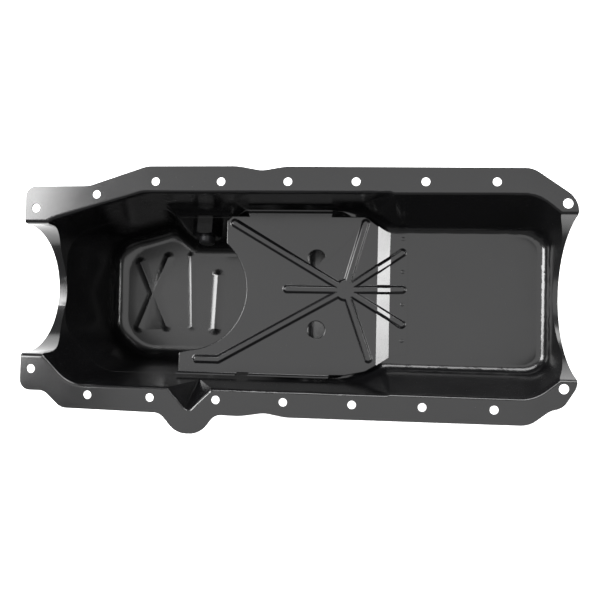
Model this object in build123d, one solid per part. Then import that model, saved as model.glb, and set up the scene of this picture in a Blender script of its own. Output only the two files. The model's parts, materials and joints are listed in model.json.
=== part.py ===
from build123d import *
from math import atan2, cos, degrees, pi, radians, sin, sqrt, tan
import os

# Pressed-steel engine oil pan for a V8, open side up.
# The origin is the centre of the twelve side-rail bolts, in the gasket plane.
# +X is the engine's front, +Z is up, and all sizes are in millimetres.

# ---- Sheet and bolt pattern ----
SHEET = 1.5
BOLT_PITCH = 69.85
RAIL_BOLTS = 6
RAIL_BOLT_Y = 113.0
RAIL_HOLE_D = 8.7
FRONT_CORNER_D = 9.8
FRONT_CORNERS = ((242.8, 91.7), (240.7, -90.2))
REAR_CORNER_D = 9.0
REAR_CORNERS = ((-305.3, 84.3), (-305.3, -86.9))
REAR_RAIL_HOLES = ((-238.5, 99.3), (-242.0, -112.5))

# ---- Flange outline: x, y and corner radius ----
FLANGE_OUTLINE = (
    (253.2, 96.0, 24.0),
    (209.0, 127.0, 24.0),
    (-38.0, 128.6, 60.0),
    (-62.0, 124.4, 30.0),
    (-87.0, 129.2, 60.0),
    (-184.0, 129.2, 30.0),
    (-247.0, 108.2, 30.0),
    (-317.0, 107.6, 11.0),
    (-317.0, -109.5, 11.0),
    (-290.0, -109.5, 14.0),
    (-271.0, -127.0, 16.0),
    (-163.4, -128.4, 14.0),
    (-145.5, -148.8, 23.0),
    (-120.1, -148.8, 23.0),
    (-105.6, -128.3, 14.0),
    (-79.0, -128.8, 60.0),
    (-54.0, -124.6, 30.0),
    (-32.0, -128.4, 60.0),
    (208.0, -127.4, 24.0),
    (228.0, -112.0, 20.0),
    (240.0, -109.0, 16.0),
    (253.2, -88.0, 16.0),
)

# ---- End arches, seats of the crankshaft seals: axis along X ----
REAR_ARCH_RADIUS = 69.0
REAR_ARCH_DEPTH = 78.0
REAR_ARCH_Y = -1.2
REAR_ARCH_REACH = -262.0
FRONT_ARCH_RADIUS = 86.0
FRONT_ARCH_DEPTH = 59.0
FRONT_ARCH_Y = 0.0
FRONT_ARCH_REACH = 228.0
ARCH_BEND = 5.0

# ---- Pressed cavity ----
RIM_BEND = 4.0
SHALLOW_DEPTH = 76.0
SHALLOW_BEND = 11.0
SUMP_DEPTH = 188.5
SUMP_BEND = 18.0
SUMP_STEP_BEND = 14.0
SUMP_LAP = 1.0
DRAW_STEP = 0.1
SLAB_X = -32.0
SLAB_LENGTH = 640.0
SLAB_WIDTH = 330.0
CLEAR_ABOVE = 12.0
BEND_STEPS = 6
WALL_STEPS = 2

# ---- Dipstick pocket: a V in the long wall that fades out with depth ----
DIPSTICK_TIP = (-134.2, -126.9)
DIPSTICK_HEADINGS = (222.4, 314.8)
DIPSTICK_DRAFT = 23.7
DIPSTICK_TIP_BEND = 5.0
DIPSTICK_BACK_Y = -45.0
DIPSTICK_DEPTH = 48.0
DIPSTICK_BLOCK = (110.0, 64.0)
DIPSTICK_BLOCK_Y = -120.0

# ---- Recess for the drain fitting in the upper sump wall ----
RECESS_FACE_Y = 101.5
RECESS_DRAFT = 10.1
RECESS_FLANK_DRAFT = 9.3
RECESS_FLANK_TURN = 36.0
RECESS_LEFT_X = -190.0
RECESS_RIGHT_X = -88.0
RECESS_FLANK_Y = 77.5
RECESS_SHELF_Y = 93.0
RECESS_SHELF_Z = -61.0
RECESS_SHELF_TILT = 25.3
RECESS_SHELF_BEND = 7.0
RECESS_BEND = 12.0
RECESS_CORNER = 20.0

# ---- Beads pressed up in the sump floor: ends, height and slope of the two flanks ----
BEAD_RIDGE = 4.0
FLOOR_BEADS = (
    ((-262.5, 51.4), (-215.6, -51.1), 2.5, 16.5),
    ((-215.9, 58.9), (-262.2, -53.6), 2.5, 16.5),
    ((-188.0, 60.0), (-184.0, -50.0), 1.2, 10.0),
    ((-149.0, 37.7), (-153.0, -55.0), 2.9, 16.5),
)

# ---- Drain nut, plug and gasket: the axis is square to the recess face ----
DRAIN_X = -146.0
DRAIN_Z = -112.0
DRAIN_HOLE_D = 21.0
DRAIN_NUT_FLATS = 31.75
DRAIN_NUT_LENGTH = 13.0
DRAIN_NUT_CHAMFER = 1.2
DRAIN_BORE_D = 19.35
DRAIN_THREAD_D = 19.05
DRAIN_PLUG_PAST_NUT = 8.0
DRAIN_TIP_CHAMFER = 1.5
DRAIN_HEAD_FLATS = 23.8
DRAIN_HEAD_LENGTH = 10.0
DRAIN_HEAD_CHAMFER = 1.2
DRAIN_COLLAR_D = 30.0
DRAIN_COLLAR_LENGTH = 2.5
DRAIN_GASKET_D = 28.0
DRAIN_GASKET_THICKNESS = 2.0
DRAIN_GASKET_GAP = 0.02

# ---- Windage tray ----
TRAY_SHEET = 1.2
TRAY_TOP = -67.0
TRAY_RAMP_START = 60.5
TRAY_RAMP_END = 75.0
TRAY_HOLE_D = 19.5
TRAY_HOLES = ((-8.0, 40.5), (-7.2, -40.2))
TRAY_OUTLINE = (
    (94.0, 70.2, 3.0),
    (72.0, 70.2, 40.0),
    (46.0, 88.6, 6.0),
    (-106.0, 88.6, 1.0),
    (-112.2, 83.0, 3.0),
    (-112.2, 20.0, 2.0),
    (-150.0, 20.0, 2.0),
    (-150.0, -66.0, 2.0),
    (-165.4, -70.0, 3.0),
    (-165.4, -91.0, 2.0),
    (26.0, -91.0, 8.0),
    (49.0, -85.8, 10.0),
    (78.0, -67.6, 8.0),
    (95.0, -65.4, 3.0),
)
TRAY_CUT = (-158.5, 3.5)
TRAY_CUT_RADIUS = 70.5
RIB_HEIGHT = 2.2
RIB_WIDTH = 5.0
RIB_TAPER = 45.0
RIB_SKIN = 0.5
RIB_HUB = (25.0, 5.5)
RIB_HUB_RADIUS = 10.5
RIBS = (
    (RIB_HUB, (-103.0, 80.2)),
    (RIB_HUB, (-119.0, -76.5)),
    ((-119.0, -76.5), (-144.0, -76.5)),
    (RIB_HUB, (-41.0, 5.5)),
    (RIB_HUB, (46.5, 81.0)),
    (RIB_HUB, (52.0, -71.0)),
    (RIB_HUB, (88.3, 49.0)),
    (RIB_HUB, (88.8, 7.5)),
    (RIB_HUB, (88.8, -31.8)),
)
TAB_HEIGHT = 9.0
TAB_BEND = 2.0
TABS = ((-87.0, 9.0, 94.0), (-165.4, -97.0, -93.5), (-83.0, 8.0, -93.5))


class Wall:
    """A drafted wall: heading is where it faces outward, draft how far it leans in per depth."""

    def __init__(self, x, y, z, heading, draft):
        self.heading = radians(heading)
        self.lean = radians(draft)
        across = x * cos(self.heading) + y * sin(self.heading)
        self.reach_at_top = across - z * tan(self.lean)

    def reach(self, z, shift, top, top_bend, floor, floor_bend, offset):
        """How far out the shifted wall is at height z, with its bends to the flats above and below."""
        c, s, t = cos(self.lean), sin(self.lean), tan(self.lean)
        start = self.reach_at_top + shift / c
        if top_bend:
            r = top_bend - offset
            centre_z = top - top_bend
            if z > centre_z + r * s:
                centre = start + r * c + (centre_z + r * s) * t
                return centre - sqrt(max(r * r - (z - centre_z) ** 2, 0.0))
        if floor_bend:
            r = floor_bend + offset
            centre_z = floor + floor_bend
            if z < centre_z - r * s:
                centre = start - r * c + (centre_z - r * s) * t
                return centre + sqrt(max(r * r - (z - centre_z) ** 2, 0.0))
        return start + z * t


REAR_WALL = Wall(-308.5, 0.0, 0.0, 180.0, 0.3)
REAR_SUMP = Wall(-307.9, 0.0, -76.0, 180.0, 9.3)
REAR_CHAMFER = Wall(-281.0, -83.2, 0.0, 225.0, 4.6)
UPPER_SUMP = Wall(0.0, 101.3, 0.0, 90.0, 3.2)
UPPER_REAR = Wall(-188.0, 101.3, 0.0, 106.5, 0.6)
LOWER_SUMP = Wall(0.0, -101.8, 0.0, 270.0, 5.0)
SUMP_STEP = Wall(36.0, 0.0, -76.0, 0.0, 28.0)
FRONT_WALL = Wall(256.0, 0.0, 0.0, 0.0, 8.0)
UPPER_FRONT = Wall(231.0, 86.0, 0.0, 50.0, 6.0)
LOWER_FRONT = Wall(230.4, -86.4, 0.0, 309.0, 1.5)
UPPER_SHALLOW = Wall(0.0, 100.6, 0.0, 90.0, 18.0)
LOWER_SHALLOW = Wall(0.0, -101.2, 0.0, 270.0, 14.4)
UPPER_BLEND = Wall(58.0, 88.0, -67.0, 62.0, 15.0)
LOWER_BLEND = Wall(55.0, -90.0, -67.0, 298.0, 15.0)

RECESS_FACE = Wall(0.0, RECESS_FACE_Y, 0.0, 90.0, RECESS_DRAFT)
RECESS_FOOT = (RECESS_FLANK_Y, -SUMP_DEPTH)
RECESS_LEFT = Wall(RECESS_LEFT_X, *RECESS_FOOT, 90.0 - RECESS_FLANK_TURN, RECESS_FLANK_DRAFT)
RECESS_RIGHT = Wall(RECESS_RIGHT_X, *RECESS_FOOT, 90.0 + RECESS_FLANK_TURN, RECESS_FLANK_DRAFT)

DIPSTICK_LEFT = Wall(*DIPSTICK_TIP, 0.0, DIPSTICK_HEADINGS[0], DIPSTICK_DRAFT)
DIPSTICK_RIGHT = Wall(*DIPSTICK_TIP, 0.0, DIPSTICK_HEADINGS[1], DIPSTICK_DRAFT)
DIPSTICK_BACK = Wall(0.0, DIPSTICK_BACK_Y, 0.0, 90.0, DIPSTICK_DRAFT)

# Walls anticlockwise from the front, with the corner radius before each one.
BASIN = (
    (FRONT_WALL, 40.0),
    (UPPER_FRONT, 40.0),
    (UPPER_SHALLOW, 40.0),
    (UPPER_BLEND, 40.0),
    (UPPER_SUMP, 40.0),
    (UPPER_REAR, 30.0),
    (REAR_WALL, 40.0),
    (REAR_CHAMFER, 44.0),
    (LOWER_SUMP, 44.0),
    (LOWER_BLEND, 40.0),
    (LOWER_SHALLOW, 40.0),
    (LOWER_FRONT, 40.0),
)
SHALLOW_WALLS = (
    FRONT_WALL,
    UPPER_FRONT,
    UPPER_SHALLOW,
    UPPER_BLEND,
    LOWER_BLEND,
    LOWER_SHALLOW,
    LOWER_FRONT,
)
SUMP = (
    (SUMP_STEP, 28.0),
    (UPPER_SUMP, 28.0),
    (RECESS_RIGHT, RECESS_CORNER),
    (RECESS_FACE, RECESS_BEND),
    (RECESS_LEFT, RECESS_BEND),
    (UPPER_REAR, RECESS_CORNER),
    (REAR_SUMP, 40.0),
    (REAR_CHAMFER, 44.0),
    (LOWER_SUMP, 44.0),
)
RECESS = (RECESS_RIGHT, RECESS_FACE, RECESS_LEFT)
DIPSTICK = ((DIPSTICK_BACK, 2.0), (DIPSTICK_LEFT, 2.0), (DIPSTICK_RIGHT, DIPSTICK_TIP_BEND))


def corner_points(reaches):
    """Where each wall's line meets the one before it, from (heading, reach) pairs."""
    points = []
    for (before, reach_before), (here, reach_here) in zip(reaches[-1:] + reaches[:-1], reaches):
        a, b = cos(before), sin(before)
        d, e = cos(here), sin(here)
        det = a * e - b * d
        x = (reach_before * e - b * reach_here) / det
        y = (a * reach_here - reach_before * d) / det
        points.append(Vector(x, y))
    return points


def level_outline(walls, z, offset, reach_of):
    """The closed outline of the walls at height z: a straight for each wall, an arc at each corner."""
    reaches = [(wall.heading, reach_of(wall)) for wall, _ in walls]
    points = corner_points(reaches)
    arcs = []
    for i, (wall, radius) in enumerate(walls):
        point, before, after = points[i], points[i - 1], points[(i + 1) % len(walls)]
        to_before, to_after = (before - point).normalized(), (after - point).normalized()
        turn = sin(wall.heading - walls[i - 1][0].heading)
        half = radians(180.0 - to_before.get_angle(to_after)) / 2
        leg = (radius + (offset if turn > 0 else -offset)) * tan(half)
        leg = min(leg, 0.45 * (before - point).length, 0.45 * (after - point).length)
        arc_radius = leg / tan(half)
        centre = point + (to_before + to_after).normalized() * (arc_radius / cos(half))
        middle = centre + (point - centre).normalized() * arc_radius
        arcs.append([(p.X, p.Y, z) for p in (point + to_before * leg, middle, point + to_after * leg)])
    edges = []
    for arc, following in zip(arcs, arcs[1:] + arcs[:1]):
        edges.append(ThreePointArc(*arc))
        edges.append(Line(arc[2], following[0]))
    return Wire(edges)


def bend_levels(offset, top, top_bend, floor, floor_bend):
    """Heights from top to floor, close together round the two bends."""
    share = [sin(pi / 2 * step / BEND_STEPS) for step in range(BEND_STEPS + 1)]
    upper = [top - top_bend + (top_bend - offset) * s for s in reversed(share)]
    lower = [floor - offset]
    if floor_bend:
        lower = [floor + floor_bend - (floor_bend + offset) * s for s in share]
    gap = (lower[0] - upper[-1]) / (WALL_STEPS + 1)
    return upper + [upper[-1] + gap * (step + 1) for step in range(WALL_STEPS)] + lower


def lofted(walls, offset, top, top_bends, floor, floor_bends, inset=0.0):
    """The space inside the walls, from their bend at the top to their bend at the floor."""
    levels = bend_levels(offset, top, max(top_bends.values()), floor, max(floor_bends.values()))
    outlines = []
    for z in levels:

        def reach_of(wall, z=z):
            top_bend = top_bends.get(wall, 0.0)
            bend = floor_bends.get(wall, 0.0)
            return wall.reach(z, offset - inset, top, top_bend, floor, bend, offset)

        outlines.append(level_outline(walls, z, offset, reach_of))
    return Solid.make_loft(outlines)


def basin(offset):
    """The space from the gasket plane to the shallow floor."""
    rims = {wall: RIM_BEND for wall, _ in BASIN}
    floors = {wall: SHALLOW_BEND for wall in SHALLOW_WALLS}
    return lofted(BASIN, offset, 0.0, rims, -SHALLOW_DEPTH, floors)


def sump(offset):
    """The space of the sump, whose front wall bends into the shallow floor a little above it."""
    floors = {wall: SUMP_BEND for wall, _ in SUMP}
    top = -SHALLOW_DEPTH + SUMP_LAP
    return lofted(SUMP, offset, top, {SUMP_STEP: SUMP_STEP_BEND}, -SUMP_DEPTH, floors, DRAW_STEP)


def dipstick_pocket(offset):
    """The V-shaped space for the dipstick tube, with its bends into the flange."""
    grow = offset / cos(radians(DIPSTICK_DRAFT))
    points = corner_points([(wall.heading, wall.reach_at_top + grow) for wall, _ in DIPSTICK])
    plan = rounded([(p.X, p.Y, radius + offset) for p, (_, radius) in zip(points, DIPSTICK)])
    wedge = extrude(plan, DIPSTICK_DEPTH, dir=(0, 0, -1), taper=DIPSTICK_DRAFT)
    x, high = DIPSTICK_TIP[0], CLEAR_ABOVE / 2
    around = Pos(x, DIPSTICK_BLOCK_Y, -DIPSTICK_DEPTH / 2) * Box(*DIPSTICK_BLOCK, DIPSTICK_DEPTH)
    roof = Pos(x, DIPSTICK_BLOCK_Y, (high - offset) / 2) * Box(*DIPSTICK_BLOCK, high + offset)
    block = roof + (wedge & around)
    back = DIPSTICK_BLOCK_Y + DIPSTICK_BLOCK[1] / 2
    mouth = [edge for edge in block.edges() if abs(edge.center().Z + offset) < 0.01]
    mouth = [edge for edge in mouth if DIPSTICK_TIP[1] - 5.0 < edge.center().Y < back - 1.0]
    sides = [edge for edge in mouth if abs(edge.center().X - x) < DIPSTICK_BLOCK[0] / 2 - 1.0]
    return fillet(sides, RIM_BEND - offset)


def beyond(solid, origin, outward, offset):
    """The part of the solid outside a wall's plane, which the offset moves outward."""
    outward = Vector(*outward).normalized()
    plane = Plane(origin=Vector(*origin) + outward * offset, z_dir=outward)
    return split(solid, bisect_by=plane, keep=Keep.TOP)


def drain_shelf(offset):
    """The block of outside space above the drain fitting, under a sloping shelf."""
    low = -SHALLOW_DEPTH - 14.0
    middle = (RECESS_LEFT_X + RECESS_RIGHT_X) / 2
    block = Pos(middle, RECESS_FACE_Y, low + 30.0) * Box(150.0, 60.0, 60.0)
    for wall in RECESS:
        across = Vector(cos(wall.heading), sin(wall.heading), 0) * wall.reach_at_top
        outward = (cos(wall.heading) * cos(wall.lean), sin(wall.heading) * cos(wall.lean), -sin(wall.lean))
        block = beyond(block, across, outward, offset)
    tilt = radians(RECESS_SHELF_TILT)
    block = beyond(block, (0, RECESS_SHELF_Y, RECESS_SHELF_Z), (0, cos(tilt), -sin(tilt)), offset)
    edges = [edge for edge in block.edges() if edge.center().Z > low + 1.0]
    edges = [edge for edge in edges if edge.center().Y < RECESS_FACE_Y]
    return fillet(edges, RECESS_SHELF_BEND - offset)


def floor_bead(offset, start, end, height, slope):
    """A roof-shaped bead pressed up along a line in the sump floor, hipped at both ends."""
    radius = BEAD_RIDGE - offset
    centre_z = -SUMP_DEPTH + height - BEAD_RIDGE
    c, s = cos(radians(slope)), sin(radians(slope))
    low = -SUMP_DEPTH - 4.0
    foot = (radius - (low - centre_z) * c) / s
    rise = (BEAD_RIDGE - (BEAD_RIDGE - height) * c) / s
    half = Wire(
        [
            Line((0, low), (foot, low)),
            Line((foot, low), (radius * s, centre_z + radius * c)),
            ThreePointArc(
                (radius * s, centre_z + radius * c),
                (radius * sin(radians(slope / 2)), centre_z + radius * cos(radians(slope / 2))),
                (0, centre_z + radius),
            ),
            Line((0, centre_z + radius), (0, low)),
        ]
    )
    side = Plane.XZ * Face(half)
    middle = (Vector(*start) + Vector(*end)) / 2
    along = Vector(*end) - Vector(*start)
    inner = along.length - 2 * rise
    hip = revolve(side, Axis.Z)
    ridge = extrude(side, inner / 2, both=True)
    ridge = ridge + mirror(ridge, Plane.YZ)
    bead = ridge + Pos(0, inner / 2, 0) * hip + Pos(0, -inner / 2, 0) * hip
    return Pos(middle.X, middle.Y, 0) * Rot(0, 0, degrees(atan2(along.Y, along.X)) - 90.0) * bead


def arch(offset, radius, depth, middle_y, start, end):
    """The round space over an end arch, its axis along X, with bends to the flange beside it."""
    bend = ARCH_BEND - offset
    centre_z = radius - depth
    round_at = radius + offset
    bend_z = -offset - bend
    shoulder_z = min(centre_z, bend_z)
    bend_y = sqrt((round_at + bend) ** 2 - max(centre_z - bend_z, 0.0) ** 2)
    share = round_at / (round_at + bend)
    meet_y = bend_y * share
    meet_z = max(centre_z + (bend_z - centre_z) * share, bend_z)
    lean = (pi / 2 + atan2(meet_z - bend_z, meet_y - bend_y)) / 2
    knee_y, knee_z = bend_y + bend * cos(lean), bend_z + bend * sin(lean)
    high = CLEAR_ABOVE / 2
    edges = [
        Line((bend_y, high), (bend_y, -offset)),
        ThreePointArc((bend_y, -offset), (knee_y, knee_z), (meet_y, meet_z)),
    ]
    if shoulder_z < bend_z:
        edges.append(Line((meet_y, meet_z), (meet_y, shoulder_z)))
        edges.append(ThreePointArc((meet_y, shoulder_z), (0, centre_z - round_at), (-meet_y, shoulder_z)))
        edges.append(Line((-meet_y, shoulder_z), (-meet_y, meet_z)))
    else:
        edges.append(ThreePointArc((meet_y, meet_z), (0, centre_z - round_at), (-meet_y, meet_z)))
    edges.append(ThreePointArc((-meet_y, meet_z), (-knee_y, knee_z), (-bend_y, -offset)))
    edges.append(Line((-bend_y, -offset), (-bend_y, high)))
    edges.append(Line((-bend_y, high), (bend_y, high)))
    return Pos(start, middle_y, 0) * extrude(Plane.YZ * Face(Wire(edges)), end - start, dir=(1, 0, 0))


def space_above(offset):
    """All the space above the sheet's upper skin, or above its lower skin at an offset of its thickness."""
    height = CLEAR_ABOVE + offset
    slab = Pos(SLAB_X, 0, CLEAR_ABOVE - height / 2) * Box(SLAB_LENGTH, SLAB_WIDTH, height)
    pressed = sump(offset)
    for bead in FLOOR_BEADS:
        pressed = pressed - floor_bead(offset, *bead)
    space = basin(offset) - drain_shelf(offset)
    space = slab + (space + pressed)
    space = space + dipstick_pocket(offset)
    rear, front = SLAB_X - SLAB_LENGTH / 2, SLAB_X + SLAB_LENGTH / 2
    rear_arch = arch(offset, REAR_ARCH_RADIUS, REAR_ARCH_DEPTH, REAR_ARCH_Y, rear, REAR_ARCH_REACH)
    front_arch = arch(offset, FRONT_ARCH_RADIUS, FRONT_ARCH_DEPTH, FRONT_ARCH_Y, FRONT_ARCH_REACH, front)
    return space + rear_arch + front_arch


def rounded(corners):
    """A closed outline through corners given as x, y and corner radius."""
    points = [Vector(x, y) for x, y, _ in corners]
    arcs = []
    for i, (point, (_, _, radius)) in enumerate(zip(points, corners)):
        before, after = points[i - 1], points[(i + 1) % len(points)]
        to_before, to_after = (before - point).normalized(), (after - point).normalized()
        half = radians(180.0 - to_before.get_angle(to_after)) / 2
        leg = radius * tan(half)
        centre = point + (to_before + to_after).normalized() * (radius / cos(half))
        middle = centre + (point - centre).normalized() * radius
        arcs.append([point + to_before * leg, middle, point + to_after * leg])
    edges = []
    for arc, following in zip(arcs, arcs[1:] + arcs[:1]):
        edges.append(ThreePointArc(*arc))
        edges.append(Line(arc[2], following[0]))
    return Face(Wire(edges))


def holes(places, z, diameter):
    """Upright cylinders that cut holes through a sheet at height z."""
    return [Pos(x, y, z) * Cylinder(diameter / 2, 12.0) for x, y in places]


def pan_body():
    """The pressed pan: flange, end arches, shallow section and sump in one sheet."""
    depth = SUMP_DEPTH + 20.0
    prism = Pos(0, 0, -depth) * extrude(rounded(FLANGE_OUTLINE), depth + CLEAR_ABOVE / 4)
    lower = space_above(SHEET) & prism
    sheet = lower - space_above(0.0)
    along = [BOLT_PITCH * (i - (RAIL_BOLTS - 1) / 2) for i in range(RAIL_BOLTS)]
    rail = [(x, side * RAIL_BOLT_Y) for x in along for side in (1, -1)]
    sheet = sheet - holes(rail + list(REAR_RAIL_HOLES), 0.0, RAIL_HOLE_D)
    sheet = sheet - holes(FRONT_CORNERS, 0.0, FRONT_CORNER_D)
    sheet = sheet - holes(REAR_CORNERS, 0.0, REAR_CORNER_D)
    return sheet - drain_place() * Cylinder(DRAIN_HOLE_D / 2, 6 * SHEET)


def drain_place():
    """Where the drain axis leaves the recess face, pointing out of the pan."""
    draft = radians(RECESS_DRAFT)
    face_y = RECESS_FACE_Y + DRAIN_Z * tan(draft) - DRAW_STEP / cos(draft)
    outward = (0, cos(draft), -sin(draft))
    return Location(Plane(origin=(DRAIN_X, face_y, DRAIN_Z), x_dir=(1, 0, 0), z_dir=outward))


def hexagon(flats, low, high, chamfered, chamfer_size):
    """A hexagonal prism on the drain axis with its corners turned off at one end."""
    prism = Pos(0, 0, low) * extrude(RegularPolygon(flats / 2, 6, major_radius=False), high - low)
    inward = 1 if chamfered == low else -1
    run = flats / sqrt(3.0) - flats / 2 + chamfer_size
    rise = run * tan(radians(30))
    edge_r = flats / 2 - chamfer_size + run
    cone = [(0, chamfered), (flats / 2 - chamfer_size, chamfered), (edge_r, chamfered + inward * rise)]
    far = low if chamfered == high else high
    cone += [(edge_r, far), (0, far)]
    profile = Plane.XZ * make_face(Polyline(*cone, close=True))
    return prism & revolve(profile, Axis.Z)


def drain_nut():
    """The hexagonal nut welded inside the recess wall."""
    nut = hexagon(DRAIN_NUT_FLATS, -DRAIN_NUT_LENGTH, 0.0, -DRAIN_NUT_LENGTH, DRAIN_NUT_CHAMFER)
    nut = nut - Pos(0, 0, -DRAIN_NUT_LENGTH / 2) * Cylinder(DRAIN_BORE_D / 2, DRAIN_NUT_LENGTH + 2)
    return drain_place() * nut


def drain_gasket():
    """The flat ring under the plug's collar."""
    low = SHEET + DRAIN_GASKET_GAP
    ring = Cylinder(DRAIN_GASKET_D / 2, DRAIN_GASKET_THICKNESS)
    ring = ring - Cylinder(DRAIN_BORE_D / 2, DRAIN_GASKET_THICKNESS)
    return drain_place() * Pos(0, 0, low + DRAIN_GASKET_THICKNESS / 2) * ring


def drain_plug():
    """The screw plug: threaded shank, collar and hexagonal head outside the pan."""
    seat = SHEET + DRAIN_GASKET_GAP + DRAIN_GASKET_THICKNESS
    tip = -DRAIN_NUT_LENGTH - DRAIN_PLUG_PAST_NUT
    shank = Pos(0, 0, (seat + tip) / 2) * Cylinder(DRAIN_THREAD_D / 2, seat - tip)
    shank = chamfer(shank.faces().sort_by(Axis.Z)[0].edges(), DRAIN_TIP_CHAMFER)
    collar = Pos(0, 0, seat + DRAIN_COLLAR_LENGTH / 2) * Cylinder(DRAIN_COLLAR_D / 2, DRAIN_COLLAR_LENGTH)
    low = seat + DRAIN_COLLAR_LENGTH
    high = low + DRAIN_HEAD_LENGTH
    head = hexagon(DRAIN_HEAD_FLATS, low, high, high, DRAIN_HEAD_CHAMFER)
    return drain_place() * (shank + collar + head)


def tray_planes(drop):
    """The planes of the tray's flat, ramp and foot at a depth below its upper skin, and the ramp's slope."""
    foot_top = -SHALLOW_DEPTH + TRAY_SHEET
    slope = atan2(TRAY_TOP - foot_top, TRAY_RAMP_END - TRAY_RAMP_START)
    shift = drop * tan(slope / 2)
    first, second = TRAY_RAMP_START - shift, TRAY_RAMP_END - shift
    flat = Plane(origin=(first, 0, TRAY_TOP - drop), x_dir=(1, 0, 0), z_dir=(0, 0, 1))
    down, normal = (cos(slope), 0, -sin(slope)), (sin(slope), 0, cos(slope))
    ramp = Plane(origin=(first, 0, TRAY_TOP - drop), x_dir=down, z_dir=normal)
    foot = Plane(origin=(second, 0, foot_top - drop), x_dir=(1, 0, 0), z_dir=(0, 0, 1))
    return flat, ramp, foot, slope


def rib(plane, stretch, start, end, width, height, under):
    """One round-ended rib standing on a plane, its plan stretched to suit the plane's slope."""
    a = Vector((start[0] - plane.origin.X) * stretch, start[1])
    b = Vector((end[0] - plane.origin.X) * stretch, end[1])
    along = b - a
    turn = degrees(atan2(along.Y, along.X))
    flare = height * tan(radians(RIB_TAPER))
    place = Pos((a.X + b.X) / 2, (a.Y + b.Y) / 2) * Rot(0, 0, turn)
    slot = place * SlotCenterToCenter(along.length, width + 2 * flare)
    solid = extrude(slot, height, taper=RIB_TAPER) + extrude(slot, -under)
    return Location(plane) * solid


def ribs(drop, width, under):
    """All the ribs standing on the three planes of the tray, cut where the planes meet."""
    flat, ramp, foot, slope = tray_planes(drop)
    shares = ((flat, 1.0), (ramp, 1.0 / cos(slope)), (foot, 1.0))
    lean = slope / 2
    first = Plane(origin=flat.origin, x_dir=(0, 1, 0), z_dir=(cos(lean), 0, -sin(lean)))
    second = Plane(origin=foot.origin, x_dir=(0, 1, 0), z_dir=(cos(lean), 0, -sin(lean)))
    solids = []
    for index, (plane, stretch) in enumerate(shares):
        for start, end in RIBS:
            if index and max(start[0], end[0]) < TRAY_RAMP_START:
                continue
            solid = rib(plane, stretch, start, end, width, RIB_HEIGHT, under)
            if index == 0:
                solid = split(solid, bisect_by=first, keep=Keep.BOTTOM)
            if index == 1:
                solid = split(split(solid, bisect_by=first, keep=Keep.TOP), bisect_by=second, keep=Keep.BOTTOM)
            if index == 2:
                solid = split(solid, bisect_by=second, keep=Keep.TOP)
            solids.append(solid)
    flare = RIB_HEIGHT * tan(radians(RIB_TAPER))
    hub = Circle(RIB_HUB_RADIUS - (RIB_WIDTH - width) / 2 + flare)
    hub = extrude(hub, RIB_HEIGHT, taper=RIB_TAPER) + extrude(hub, -under)
    whole = Pos(*RIB_HUB, flat.origin.Z) * hub
    for solid in solids:
        whole = whole + solid
    return whole


def tray_slab():
    """The tray's sheet before its ribs: flat, ramp and foot, cut to the outline."""
    left, right = TRAY_OUTLINE[9][0] - 20.0, TRAY_OUTLINE[0][0] + 20.0
    points = []
    for drop in (0.0, TRAY_SHEET):
        flat, ramp, foot, slope = tray_planes(drop)
        high, low = flat.origin.Z, foot.origin.Z
        level = [(left, high), (flat.origin.X, high), (foot.origin.X, low), (right, low)]
        points += level if drop == 0.0 else level[::-1]
    profile = Plane.XZ * make_face(Polyline(*points, close=True))
    slab = extrude(profile, 120.0, both=True)
    plan = rounded(TRAY_OUTLINE) - Pos(*TRAY_CUT) * Circle(TRAY_CUT_RADIUS)
    under, over = -SHALLOW_DEPTH - 5.0, TRAY_TOP + 5.0
    return slab & Pos(0, 0, under) * extrude(plan, over - under)


def tab(start, end, y):
    """An upturned edge of the tray, bent up round TAB_BEND."""
    side = 1 if y > 0 else -1
    inner = TAB_BEND
    outer = TAB_BEND + TRAY_SHEET
    low, high = TRAY_TOP - TRAY_SHEET, TRAY_TOP + TAB_HEIGHT
    centre = (y - side * outer, TRAY_TOP + inner)
    s = sin(pi / 4)
    outline = Wire(
        [
            Line((centre[0] - side * 5.0, low), (centre[0], low)),
            ThreePointArc((centre[0], low), (centre[0] + side * outer * s, centre[1] - outer * s), (y, centre[1])),
            Line((y, centre[1]), (y, high)),
            Line((y, high), (y - side * TRAY_SHEET, high)),
            Line((y - side * TRAY_SHEET, high), (y - side * TRAY_SHEET, centre[1])),
            ThreePointArc(
                (y - side * TRAY_SHEET, centre[1]),
                (centre[0] + side * inner * s, centre[1] - inner * s),
                (centre[0], TRAY_TOP),
            ),
            Line((centre[0], TRAY_TOP), (centre[0] - side * 5.0, TRAY_TOP)),
            Line((centre[0] - side * 5.0, TRAY_TOP), (centre[0] - side * 5.0, low)),
        ]
    )
    return Pos(start, 0, 0) * extrude(Plane.YZ * Face(outline), end - start, dir=(1, 0, 0))


def windage_tray():
    """The ribbed baffle over the front of the sump."""
    tray = tray_slab() + ribs(0.0, RIB_WIDTH, TRAY_SHEET / 2)
    tray = tray - ribs(TRAY_SHEET, RIB_WIDTH - 2 * RIB_SKIN, TRAY_SHEET)
    for start, end, y in TABS:
        tray = tray + tab(start, end, y)
    return (tray - holes(TRAY_HOLES, TRAY_TOP, TRAY_HOLE_D)) & basin(0.0)


def main():
    os.makedirs("parts", exist_ok=True)
    export_step(pan_body(), "parts/pan_body.step")
    export_step(windage_tray(), "parts/windage_tray.step")
    export_step(drain_nut(), "parts/drain_nut.step")
    export_step(drain_plug(), "parts/drain_plug.step")
    export_step(drain_gasket(), "parts/drain_plug_gasket.step")


if __name__ == "__main__":
    main()
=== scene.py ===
"""Engine oil pan in black paint: its finish, its fine detail and a plain studio round it."""

import json
from math import pi, radians

import bmesh
import bpy
from bpy.props import FloatProperty, PointerProperty, StringProperty
from mathutils import Matrix, Vector


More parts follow.
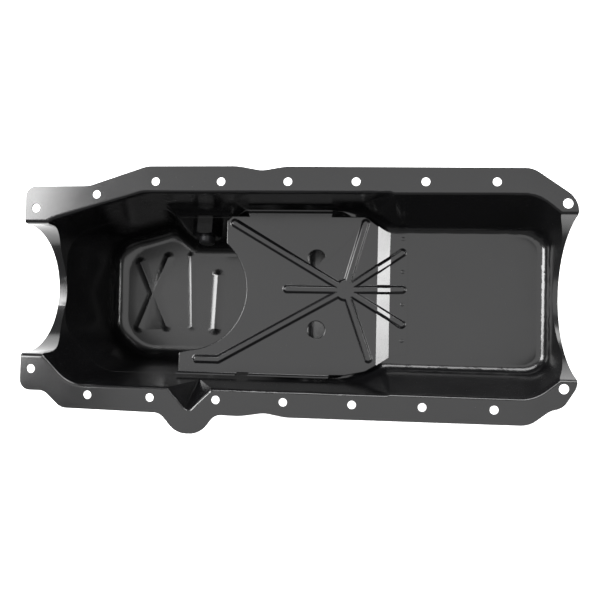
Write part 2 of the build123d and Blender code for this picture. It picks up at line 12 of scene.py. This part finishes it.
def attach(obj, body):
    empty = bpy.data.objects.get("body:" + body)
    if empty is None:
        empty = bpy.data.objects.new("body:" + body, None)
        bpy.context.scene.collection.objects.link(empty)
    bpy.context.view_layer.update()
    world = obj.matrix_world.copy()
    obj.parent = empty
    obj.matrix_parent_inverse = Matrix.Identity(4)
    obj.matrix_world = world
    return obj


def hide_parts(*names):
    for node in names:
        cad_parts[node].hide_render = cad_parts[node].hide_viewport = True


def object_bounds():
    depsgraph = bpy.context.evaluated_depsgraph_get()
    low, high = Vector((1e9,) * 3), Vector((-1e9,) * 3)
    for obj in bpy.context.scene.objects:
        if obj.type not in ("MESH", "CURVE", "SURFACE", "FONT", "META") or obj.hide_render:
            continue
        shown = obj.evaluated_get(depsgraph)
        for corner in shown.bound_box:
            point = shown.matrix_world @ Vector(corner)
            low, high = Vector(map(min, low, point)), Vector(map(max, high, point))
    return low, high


bl_info = {
    "name": "Engine Oil Pan",
    "version": (1, 0, 0),
    "blender": (4, 5, 0),
    "location": "View3D > Sidebar > Oil Pan",
    "description": "Builds the painted pan, its windage tray, its drain fitting and a studio",
    "category": "Object",
}

MM = 0.001

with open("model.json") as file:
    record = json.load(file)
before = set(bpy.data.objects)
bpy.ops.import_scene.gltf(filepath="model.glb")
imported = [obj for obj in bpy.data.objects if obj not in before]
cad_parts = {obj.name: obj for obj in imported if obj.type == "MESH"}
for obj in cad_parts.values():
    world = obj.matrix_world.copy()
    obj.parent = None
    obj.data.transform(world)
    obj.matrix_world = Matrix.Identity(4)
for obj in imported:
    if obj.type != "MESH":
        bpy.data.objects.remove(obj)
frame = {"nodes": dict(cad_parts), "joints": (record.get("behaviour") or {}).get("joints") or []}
CAD_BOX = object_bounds()

# Corners of a CAD mesh closer together than this are one corner.
MERGE_DISTANCE = 0.002 * MM
# Faces that turn by less than this belong to one flat.
FLAT_ANGLE = radians(0.6)

# A mark about a millimetre inside the tray foot's front edge at each spot weld, as X and Y in millimetres.
WELD_MARKS = ((93.3, 64.9), (93.6, 27.5), (93.6, -9.2), (93.6, -50.3))
# A spot weld lies this many of its radii back from its mark, and its dome is this share of a radius high.
WELD_SETBACK = 2
WELD_HEIGHT = 0.22

# Half the ridge's width at its root, as a share of the thread's pitch: turns almost touch.
RIDGE_HALF_WIDTH = 0.42
STEPS_PER_TURN = 48

# How far the floor reaches from the origin to each side, in metres.
FLOOR_REACH = 4.0
# Each softbox: its setting, its place, the point it is aimed at, its width and its height, in metres.
SOFTBOXES = (
    ("overhead", (0.02, 0.02, 2.2), (0.02, 0, 0), 2.5, 1.9),
    ("rear", (-1.35, 0.27, 1.0), (-0.22, 0, -0.18), 0.85, 0.9),
    ("front", (1.45, 0.06, 0.76), (0.07, 0, -0.07), 0.66, 0.36),
    ("side", (0.2, 1.3, 0.95), (0.15, 0, -0.07), 1.5, 0.6),
)

# The camera's place in metres, its turns in degrees, and its lens and sensor in millimetres.
CAMERA_PLACE = (36.57 * MM, -23.39 * MM, 594.64 * MM)
CAMERA_TURNS = (("Z", -1.144), ("Y", -5.398), ("X", -1.442))
CAMERA_LENS = 35.18
CAMERA_SENSOR = 36.0


# ---- Small helpers ----


def linear(hex_colour):
    """A colour written as sRGB hex, as the linear RGBA a shader reads."""
    channels = [int(hex_colour[i : i + 2], 16) / 255 for i in (1, 3, 5)]
    return [c / 12.92 if c <= 0.04045 else ((c + 0.055) / 1.055) ** 2.4 for c in channels] + [1.0]


def add_node(tree, kind, settings=None, inputs=None):
    """A shader node with its settings, and its inputs set to values or linked to sockets."""
    node = tree.nodes.new(kind)
    for key, value in (settings or {}).items():
        setattr(node, key, value)
    for key, value in (inputs or {}).items():
        if isinstance(value, bpy.types.NodeSocket):
            tree.links.new(value, node.inputs[key])
        else:
            node.inputs[key].default_value = value
    return node


def new_material(name):
    """An empty material, and the tree to build it in."""
    material = bpy.data.materials.new(name)
    material.use_nodes = True
    tree = material.node_tree
    tree.nodes.clear()
    return material, tree


def add_object(name, mesh, material, body):
    """A piece made from a mesh, riding on a body."""
    piece = bpy.data.objects.new(name, mesh)
    bpy.context.scene.collection.objects.link(piece)
    piece.data.materials.clear()
    piece.data.materials.append(material)
    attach(piece, body)
    return piece


def weigh_normals(piece):
    """Shading that keeps the flats flat and turns only over the bends."""
    weigh = piece.modifiers.new("flat flats", "WEIGHTED_NORMAL")
    weigh.weight = 90
    weigh.keep_sharp = True


def merged_copy(node):
    """A bmesh of a CAD node with its loose triangles joined up."""
    shape = bmesh.new()
    shape.from_mesh(frame["nodes"][node].data)
    bmesh.ops.remove_doubles(shape, verts=shape.verts, dist=MERGE_DISTANCE)
    return shape


def round_edges(shape, size, segments, wanted):
    """Round the edges that a test picks, after joining the flats beside them."""
    bmesh.ops.dissolve_limit(
        shape,
        angle_limit=FLAT_ANGLE,
        use_dissolve_boundaries=False,
        verts=shape.verts,
        edges=shape.edges,
    )
    edges = [edge for edge in shape.edges if len(edge.link_faces) == 2 and wanted(edge)]
    bmesh.ops.bevel(
        shape,
        geom=edges,
        offset=size,
        offset_type="OFFSET",
        affect="EDGES",
        segments=segments,
        profile=0.5,
        material=-1,
        clamp_overlap=False,
    )


def smooth_mesh(name, shape, sharp_angle):
    """A mesh from a bmesh, shaded smooth except over edges sharper than an angle."""
    for face in shape.faces:
        face.smooth = True
    for edge in shape.edges:
        edge.smooth = edge.is_manifold and edge.calc_face_angle(0.0) < sharp_angle
    mesh = bpy.data.meshes.new(name)
    shape.to_mesh(mesh)
    shape.free()
    return mesh


# ---- Finishes ----


def ranged(tree, value, low, high, to_low, to_high):
    """A value stretched from one range to another and kept inside it."""
    ends = {"From Min": low, "From Max": high, "To Min": to_low, "To Max": to_high}
    return add_node(tree, "ShaderNodeMapRange", None, {"Value": value, **ends}).outputs["Result"]


def cloudy(tree, place, size, detail):
    """A cloudy pattern of values about 0.5, with patches about this size across."""
    inputs = {"Vector": place, "Scale": 1 / size, "Detail": detail}
    return add_node(tree, "ShaderNodeTexNoise", None, inputs).outputs["Fac"]


def black_ecoat(name, hex_colour, roughness, peel):
    """Cathodic dip coat on drawn sheet steel: thin, even, semi-gloss black with a faint orange peel."""
    material, tree = new_material(name)
    place = add_node(tree, "ShaderNodeTexCoord").outputs["Object"]
    # Patches 45 mm across where the bath ran off thicker or thinner: the gloss drifts over the part.
    drift = cloudy(tree, place, size=45 * MM, detail=3.0)
    rough = ranged(tree, drift, 0.3, 0.7, roughness - 0.03, roughness + 0.03)
    # Settled dust, in specks about half a millimetre across: scattered points that are paler and duller.
    grit = add_node(tree, "ShaderNodeTexVoronoi", None, {"Vector": place, "Scale": 1 / (5.5 * MM)})
    speck = ranged(tree, grit.outputs["Distance"], 0.035, 0.06, 1.0, 0.0)
    # The dust lies in patches 60 mm across and leaves the rest of the coat clean.
    dusty = ranged(tree, cloudy(tree, place, size=60 * MM, detail=2.0), 0.5, 0.62, 0.0, 0.6)
    dust = add_node(tree, "ShaderNodeMath", {"operation": "MULTIPLY"}, {0: speck, 1: dusty}).outputs[0]
    colours = {"Factor": dust, "A": linear(hex_colour), "B": linear("#3a3a3a")}
    colour = add_node(tree, "ShaderNodeMix", {"data_type": "RGBA"}, colours)
    dulled = add_node(tree, "ShaderNodeMath", {"operation": "MULTIPLY_ADD"}, {0: dust, 1: 0.3, 2: rough})
    # Orange peel, ripples 2 to 3 mm across and a few microns high: reflections waver a little.
    grain = cloudy(tree, place, size=2.5 * MM, detail=2.0)
    ripple = {"Height": grain, "Strength": peel, "Distance": 0.04 * MM}
    bump = add_node(tree, "ShaderNodeBump", None, ripple)
    shader = add_node(
        tree,
        "ShaderNodeBsdfPrincipled",
        None,
        {
            "Base Color": colour.outputs["Result"],
            "Roughness": dulled.outputs[0],
            "IOR": 1.52,
            "Normal": bump.outputs["Normal"],
        },
    )
    add_node(tree, "ShaderNodeOutputMaterial", None, {"Surface": shader.outputs["BSDF"]})
    return material


def plain_finish(name, hex_colour, roughness, metallic=0.0):
    """A finish of one colour with a little roughness drift."""
    material, tree = new_material(name)
    place = add_node(tree, "ShaderNodeTexCoord").outputs["Object"]
    # Patches a few millimetres across: handling and machining leave the sheen uneven.
    drift = cloudy(tree, place, size=3 * MM, detail=3.0)
    rough = ranged(tree, drift, 0.3, 0.7, roughness - 0.06, roughness + 0.06)
    look = {"Base Color": linear(hex_colour), "Roughness": rough, "Metallic": metallic}
    shader = add_node(tree, "ShaderNodeBsdfPrincipled", None, look)
    add_node(tree, "ShaderNodeOutputMaterial", None, {"Surface": shader.outputs["BSDF"]})
    return material


def studio_floor(name):
    """A pale floor that the camera sees as white, with the object's shadow kept."""
    material, tree = new_material(name)
    matt = add_node(tree, "ShaderNodeBsdfDiffuse", None, {"Color": linear("#f4f4f4")}).outputs["BSDF"]
    glow = add_node(tree, "ShaderNodeEmission", None, {"Color": linear("#ffffff"), "Strength": 0.75})
    bright = add_node(tree, "ShaderNodeAddShader", None, {0: matt, 1: glow.outputs["Emission"]})
    # Only the camera and reflections see the glow, so it throws no light on matt faces.
    path = add_node(tree, "ShaderNodeLightPath")
    seen = path.outputs["Is Camera Ray"]
    for ray in ("Is Glossy Ray", "Is Transmission Ray"):
        either = {0: seen, 1: path.outputs[ray]}
        seen = add_node(tree, "ShaderNodeMath", {"operation": "MAXIMUM"}, either).outputs[0]
    mix = add_node(tree, "ShaderNodeMixShader", None, {0: seen, 1: matt, 2: bright.outputs["Shader"]})
    add_node(tree, "ShaderNodeOutputMaterial", None, {"Surface": mix.outputs["Shader"]})
    return material


# ---- Sizes and colours a user may change ----


class CoatSettings(bpy.types.PropertyGroup):
    """The black coat on the pan, the tray and the weld nut"""

    colour: StringProperty(name="Colour", description="Colour of the coat, as sRGB hex", default="#0b0b0c")
    roughness: FloatProperty(
        name="Roughness", description="How dull the coat is", default=0.2, min=0.05, max=1.0
    )


class PanSettings(bpy.types.PropertyGroup):
    """The pan body"""

    sheet: FloatProperty(
        name="Sheet", description="Thickness of the pan's sheet", default=1.5 * MM, unit="LENGTH"
    )
    edge_round: FloatProperty(
        name="Edge rounding", description="Rounding of the sheared edges", default=0.2 * MM, unit="LENGTH"
    )


class TraySettings(bpy.types.PropertyGroup):
    """The windage tray and its spot welds"""

    top: FloatProperty(
        name="Tray top", description="Height of the tray's flat", default=-67 * MM, unit="LENGTH"
    )
    foot_top: FloatProperty(
        name="Foot top", description="Height of the tray's foot", default=-74.8 * MM, unit="LENGTH"
    )
    rib_round: FloatProperty(
        name="Rib rounding", description="Rounding of the tray's ribs", default=0.9 * MM, unit="LENGTH"
    )
    lip_round: FloatProperty(
        name="Lip rounding",
        description="Rolled-over upper edge of the tray's sheet",
        default=1.15 * MM,
        unit="LENGTH",
    )
    weld_radius: FloatProperty(
        name="Weld radius", description="Radius of a spot weld's dome", default=2.2 * MM, unit="LENGTH"
    )


class DrainSettings(bpy.types.PropertyGroup):
    """The thread on the drain plug's tip"""

    nut_length: FloatProperty(
        name="Nut length",
        description="How far the drain nut stands in from the wall",
        default=13 * MM,
        unit="LENGTH",
    )
    shank: FloatProperty(
        name="Shank radius", description="Radius the thread stands on", default=9.51 * MM, unit="LENGTH"
    )
    crest: FloatProperty(
        name="Thread crest",
        description="How far the thread stands off the shank",
        default=0.13 * MM,
        unit="LENGTH",
    )
    pitch: FloatProperty(
        name="Thread pitch", description="Pitch of the drain thread", default=1.5875 * MM, unit="LENGTH"
    )
    length: FloatProperty(
        name="Thread length", description="Length of thread past the nut", default=5.5 * MM, unit="LENGTH"
    )


class StudioSettings(bpy.types.PropertyGroup):
    """The lights"""

    sky: FloatProperty(
        name="Sky", description="Strength of the even light from all round", default=0.32, min=0.0
    )
    overhead: FloatProperty(
        name="Overhead softbox",
        description="Power of the broad softbox above",
        default=22.5,
        min=0.0,
        unit="POWER",
    )
    rear: FloatProperty(
        name="Rear softbox",
        description="Power of the softbox past the rear arch",
        default=48.0,
        min=0.0,
        unit="POWER",
    )
    front: FloatProperty(
        name="Front softbox",
        description="Power of the softbox past the front arch",
        default=15.0,
        min=0.0,
        unit="POWER",
    )
    side: FloatProperty(
        name="Side strip",
        description="Power of the low strip on the drain side",
        default=24.0,
        min=0.0,
        unit="POWER",
    )


# ---- Pieces ----


class OILPAN_OT_pan(bpy.types.Operator):
    """Make the painted pan body"""

    bl_idname = "oilpan.pan"
    bl_label = "Pan body"

    def execute(self, context):
        settings = context.scene.oilpan_pan
        look = context.scene.oilpan_coat
        coat = black_ecoat("Black e-coat on drawn steel", look.colour, look.roughness, peel=0.25)
        shape = merged_copy("pan_body")
        level_within = 0.01 * MM

        def sheared(edge):
            """A square convex edge of the flange, with each end at its top or its underside."""
            heights = [vert.co.z for vert in edge.verts]
            level = all(min(abs(z), abs(z + settings.sheet)) < level_within for z in heights)
            return level and edge.is_convex and radians(80) < edge.calc_face_angle(0.0) < radians(100)

        round_edges(shape, settings.edge_round, segments=2, wanted=sheared)
        mesh = smooth_mesh("pan", shape, sharp_angle=radians(28))
        piece = add_object("pan", mesh, coat, "pan")
        weigh_normals(piece)
        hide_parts("pan_body")
        return {"FINISHED"}


class OILPAN_OT_tray(bpy.types.Operator):
    """Make the painted windage tray"""

    bl_idname = "oilpan.tray"
    bl_label = "Windage tray"

    def execute(self, context):
        settings = context.scene.oilpan_tray
        look = context.scene.oilpan_coat
        coat = black_ecoat("Black e-coat on pressed tray", look.colour, look.roughness, peel=0.25)
        shape = merged_copy("windage_tray")
        shortest_rib_edge = 0.2 * MM
        level_within = 0.05 * MM

        def rib_edge(edge):
            """An edge folded about as sharply as a rib's flank, leaving out slivers."""
            flank = radians(30) < edge.calc_face_angle(0.0) < radians(60)
            return flank and edge.calc_length() > shortest_rib_edge

        def lip(edge):
            """A square convex edge of the flat's upper face."""
            level = all(abs(vert.co.z - settings.top) < level_within for vert in edge.verts)
            return level and edge.calc_face_angle(0.0) > radians(70) and edge.is_convex

        round_edges(shape, settings.rib_round, segments=3, wanted=rib_edge)
        round_edges(shape, settings.lip_round, segments=6, wanted=lip)
        mesh = smooth_mesh("tray", shape, sharp_angle=radians(22))
        piece = add_object("tray", mesh, coat, "pan")
        weigh_normals(piece)
        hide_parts("windage_tray")
        self.welds(settings, coat)
        return {"FINISHED"}

    def welds(self, settings, coat):
        """Spot welds along the foot of the tray, flat domes standing on its sheet."""
        shape = bmesh.new()
        r = settings.weld_radius
        flatten = Matrix.Diagonal((1, 1, WELD_HEIGHT, 1))
        for x, y in WELD_MARKS:
            place = Matrix.Translation((x * MM - WELD_SETBACK * r, y * MM, settings.foot_top)) @ flatten
            bmesh.ops.create_uvsphere(shape, u_segments=20, v_segments=10, radius=r, matrix=place)
        mesh = smooth_mesh("spot_welds", shape, sharp_angle=radians(60))
        piece = add_object("spot_welds", mesh, coat, "pan")


class OILPAN_OT_drain(bpy.types.Operator):
    """Finish the drain nut, plug and gasket"""

    bl_idname = "oilpan.drain"
    bl_label = "Drain fitting"

    def execute(self, context):
        look = context.scene.oilpan_coat
        coat = black_ecoat("Black e-coat on weld nut", look.colour, look.roughness, peel=0.4)
        # Turned steel blackened in a hot salt bath: a dark grey with a dull metal sheen.
        steel = plain_finish("Black oxide on turned steel", "#2a2a2c", roughness=0.35, metallic=0.6)
        # Moulded rubber: matt, and a shade paler than the coat.
        ring = plain_finish("Nitrile rubber ring", "#1a1a1a", roughness=0.6)
        for node, finish in (("drain_nut", coat), ("drain_plug", steel), ("drain_plug_gasket", ring)):
            data = frame["nodes"][node].data
            data.materials.clear()
            data.materials.append(finish)
        self.thread(context.scene.oilpan_drain, steel)
        return {"FINISHED"}

    def thread(self, settings, steel):
        """The rolled thread on the plug's tip, a helical ridge just over its shank."""
        turn = next(joint for joint in frame["joints"] if joint["name"] == "plug_turn")
        outward = Vector(turn["axis"]).normalized()
        half = settings.pitch * RIDGE_HALF_WIDTH
        tip = -settings.nut_length - settings.length
        root, crest = settings.shank, settings.shank + settings.crest
        shape = bmesh.new()
        profile = ((root, tip - half), (crest, tip), (root, tip + half))
        verts = [shape.verts.new((radius, 0, z)) for radius, z in profile]
        edges = [shape.edges.new(pair) for pair in zip(verts, verts[1:])]
        turns = settings.length / settings.pitch
        bmesh.ops.spin(
            shape,
            geom=verts + edges,
            cent=(0, 0, 0),
            axis=(0, 0, 1),
            dvec=(0, 0, settings.pitch / STEPS_PER_TURN),
            angle=2 * pi * turns,
            steps=int(STEPS_PER_TURN * turns),
        )
        lean = outward.to_track_quat("Z", "X").to_matrix().to_4x4()
        place = Matrix.Translation(turn["pos_m"]) @ lean
        bmesh.ops.transform(shape, matrix=place, verts=shape.verts)
        mesh = smooth_mesh("plug_thread", shape, sharp_angle=radians(15))
        piece = add_object("plug_thread", mesh, steel, "plug")


class OILPAN_OT_studio(bpy.types.Operator):
    """Set up the floor, the light and the camera"""

    bl_idname = "oilpan.studio"
    bl_label = "Studio"

    def execute(self, context):
        settings = context.scene.oilpan_studio
        self.floor(context.scene)
        self.sky(context.scene, settings.sky)
        for name, place, target, width, height in SOFTBOXES:
            self.lamp(context.scene, name, getattr(settings, name), place, target, width, height)
        self.camera(context.scene)
        return {"FINISHED"}

    def floor(self, scene):
        """The floor, level with the underside of the sump."""
        shape = bmesh.new()
        bmesh.ops.create_grid(shape, x_segments=1, y_segments=1, size=FLOOR_REACH)
        bmesh.ops.translate(shape, verts=shape.verts, vec=(0, 0, CAD_BOX[0][2]))
        mesh = bpy.data.meshes.new("floor")
        shape.to_mesh(mesh)
        shape.free()
        floor = bpy.data.objects.new("floor", mesh)
        mesh.materials.append(studio_floor("Pale matt floor"))
        scene.collection.objects.link(floor)

    def sky(self, scene, strength):
        """Even pale light from all round."""
        world = bpy.data.worlds.new("Studio")
        world.use_nodes = True
        tree = world.node_tree
        tree.nodes.clear()
        pale = {"Color": linear("#ffffff"), "Strength": strength}
        glow = add_node(tree, "ShaderNodeBackground", None, pale)
        add_node(tree, "ShaderNodeOutputWorld", None, {"Surface": glow.outputs["Background"]})
        scene.world = world

    def lamp(self, scene, name, power, place, target, width, height):
        """An area lamp aimed at a point."""
        data = bpy.data.lights.new(name, "AREA")
        data.shape = "RECTANGLE"
        data.size, data.size_y = width, height
        data.energy = power
        lamp = bpy.data.objects.new(name, data)
        lamp.location = place
        lamp.rotation_euler = (Vector(target) - Vector(place)).to_track_quat("-Z", "Y").to_euler()
        scene.collection.objects.link(lamp)

    def camera(self, scene):
        """The camera nearly overhead, a little towards the front."""
        data = bpy.data.cameras.new("camera")
        data.lens = CAMERA_LENS
        data.sensor_width = CAMERA_SENSOR
        turn = Matrix.Identity(3)
        for axis, angle in CAMERA_TURNS:
            turn = turn @ Matrix.Rotation(radians(angle), 3, axis)
        camera = bpy.data.objects.new("camera", data)
        camera.matrix_world = Matrix.Translation(CAMERA_PLACE) @ turn.transposed().to_4x4()
        scene.collection.objects.link(camera)
        scene.camera = camera


class OILPAN_PT_panel(bpy.types.Panel):
    """The settings of the oil pan and the steps that build it"""

    bl_idname = "OILPAN_PT_panel"
    bl_label = "Oil Pan"
    bl_space_type = "VIEW_3D"
    bl_region_type = "UI"
    bl_category = "Oil Pan"

    def draw(self, context):
        for name in SETTINGS:
            group = getattr(context.scene, name)
            for key in group.__annotations__:
                self.layout.prop(group, key)
        for operator in OPERATORS:
            self.layout.operator(operator.bl_idname)


SETTINGS = {
    "oilpan_coat": CoatSettings,
    "oilpan_pan": PanSettings,
    "oilpan_tray": TraySettings,
    "oilpan_drain": DrainSettings,
    "oilpan_studio": StudioSettings,
}
OPERATORS = (OILPAN_OT_pan, OILPAN_OT_tray, OILPAN_OT_drain, OILPAN_OT_studio)
CLASSES = (*SETTINGS.values(), *OPERATORS, OILPAN_PT_panel)


def register():
    for cls in CLASSES:
        bpy.utils.register_class(cls)
    for name, group in SETTINGS.items():
        setattr(bpy.types.Scene, name, PointerProperty(type=group))


def unregister():
    for name in SETTINGS:
        delattr(bpy.types.Scene, name)
    for cls in reversed(CLASSES):
        bpy.utils.unregister_class(cls)


def main():
    register()
    bpy.context.scene.view_settings.view_transform = "Standard"
    bpy.ops.oilpan.pan()
    bpy.ops.oilpan.tray()
    bpy.ops.oilpan.drain()
    bpy.ops.oilpan.studio()


if __name__ == "__main__":
    main()
